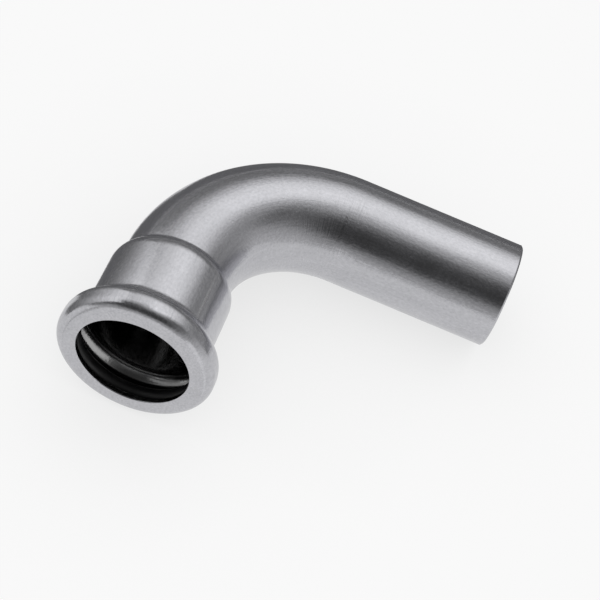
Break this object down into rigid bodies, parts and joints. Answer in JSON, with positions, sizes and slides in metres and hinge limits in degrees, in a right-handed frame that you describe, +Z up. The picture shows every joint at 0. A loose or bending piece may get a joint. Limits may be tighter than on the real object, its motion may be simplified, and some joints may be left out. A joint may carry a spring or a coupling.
{
  "type": "press fit pipe elbow",
  "caption": "Right-angle press-fit pipe elbow of bent steel tube, with a beaded socket and rubber seal at one end and a plain insertion end at the other.",
  "frame": {"origin": "on the surface the elbow lies on, under the middle of its bounding box", "axes": "+Z up from that surface; +X along the plain leg's axis and out of its end; the socket opens towards -Y, turned up by 5.4 degrees because the bead is wider than the tube"},
  "size_m": [0.077, 0.0628, 0.031],
  "materials": {
    "steel": "satin drawn tube",
    "seal_rubber": "smooth matt"
  },
  "bodies": {
    "root": {"elbow_body": "steel", "seal_ring": "seal_rubber"}
  },
  "joints": []
}
